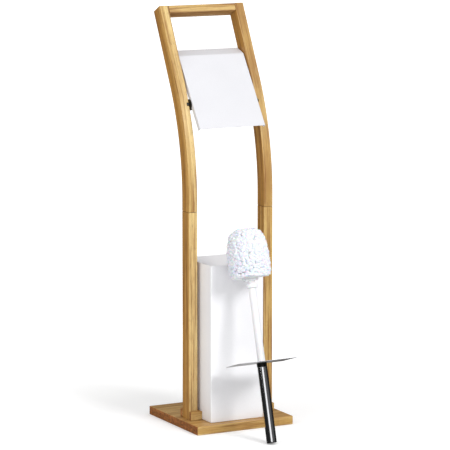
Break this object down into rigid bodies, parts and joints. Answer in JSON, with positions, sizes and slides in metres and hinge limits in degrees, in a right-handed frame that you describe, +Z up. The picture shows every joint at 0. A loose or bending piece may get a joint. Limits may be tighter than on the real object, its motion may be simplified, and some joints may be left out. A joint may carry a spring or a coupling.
{
  "type": "toilet brush and paper roll stand",
  "caption": "Bamboo stand with a square metal brush container, a loose brush with a lid plate and a sprung paper roller under a hinged metal cover.",
  "frame": {"origin": "centre of the base board's underside, on the floor", "axes": "+Z up the posts, +X to the user's right, -Y to the front, where the brush leans"},
  "size_m": [0.21, 0.3601, 0.8133],
  "materials": {
    "bamboo": "laminated bamboo, clear satin lacquer",
    "dowel_wood": "plain turned wood",
    "white_steel": "white powder coat, fine texture",
    "chrome": "polished",
    "stainless": "satin ground stainless sheet",
    "zinc_steel": "zinc plated",
    "black_plastic": "moulded black plastic",
    "white_plastic": "moulded white plastic",
    "bristles": "white nylon filaments"
  },
  "bodies": {
    "stand": {"base_board": "bamboo", "base_screw_1": "zinc_steel", "base_screw_2": "zinc_steel", "base_screw_3": "zinc_steel", "base_screw_4": "zinc_steel", "left_foot_block": "bamboo", "left_lower_post": "bamboo", "left_upper_post": "bamboo", "left_post_dowel_1": "dowel_wood", "left_post_dowel_2": "dowel_wood", "left_handle_dowel_1": "dowel_wood", "left_handle_dowel_2": "dowel_wood", "left_cover_screw": "zinc_steel", "left_cover_washer": "white_plastic", "left_roller_socket": "black_plastic", "right_foot_block": "bamboo", "right_lower_post": "bamboo", "right_upper_post": "bamboo", "right_post_dowel_1": "dowel_wood", "right_post_dowel_2": "dowel_wood", "right_handle_dowel_1": "dowel_wood", "right_handle_dowel_2": "dowel_wood", "right_cover_screw": "zinc_steel", "right_cover_washer": "white_plastic", "right_roller_socket": "black_plastic", "handle_bar": "bamboo"},
    "cover": {"roll_cover": "white_steel"},
    "roller": {"roller_outer_tube": "chrome", "roller_end_left": "black_plastic", "roller_spring": "zinc_steel"},
    "roller_sleeve": {"roller_inner_tube": "chrome", "roller_end_right": "black_plastic"},
    "container": {"container": "white_steel"},
    "cup": {"drip_cup": "white_plastic"},
    "brush": {"handle_end_cap": "chrome", "handle_tube": "chrome", "handle_collar": "black_plastic", "lid_plate": "stainless", "brush_rod": "white_plastic", "brush_flange": "white_plastic", "bristle_core": "white_plastic", "bristles": "bristles"}
  },
  "joints": [
    {"name": "cover_hinge", "type": "hinge", "parent": "stand", "child": "cover", "pos_m": [0, 0.05693, 0.71713], "axis": [-1, 0, 0], "range_deg": [0, 95]},
    {"name": "roller_spin", "type": "hinge", "parent": "stand", "child": "roller", "pos_m": [0, -0.00697, 0.62846], "axis": [1, 0, 0], "continuous": true},
    {"name": "roller_telescope", "type": "slide", "parent": "roller", "child": "roller_sleeve", "axis": [-1, 0, 0], "range_m": [0, 0.01], "stiffness_N_per_m": 300, "springref_m": -0.02, "deforming": ["roller_spring"]},
    {"name": "container_lift", "type": "slide", "parent": "stand", "child": "container", "axis": [0, 0, 1], "range_m": [0, 0.2]},
    {"name": "cup_lift", "type": "slide", "parent": "container", "child": "cup", "axis": [0, 0, 1], "range_m": [0, 0.25]},
    {"name": "brush_lift", "type": "slide", "parent": "stand", "child": "brush", "axis": [0, 0, 1], "range_m": [0, 0.15]}
  ]
}
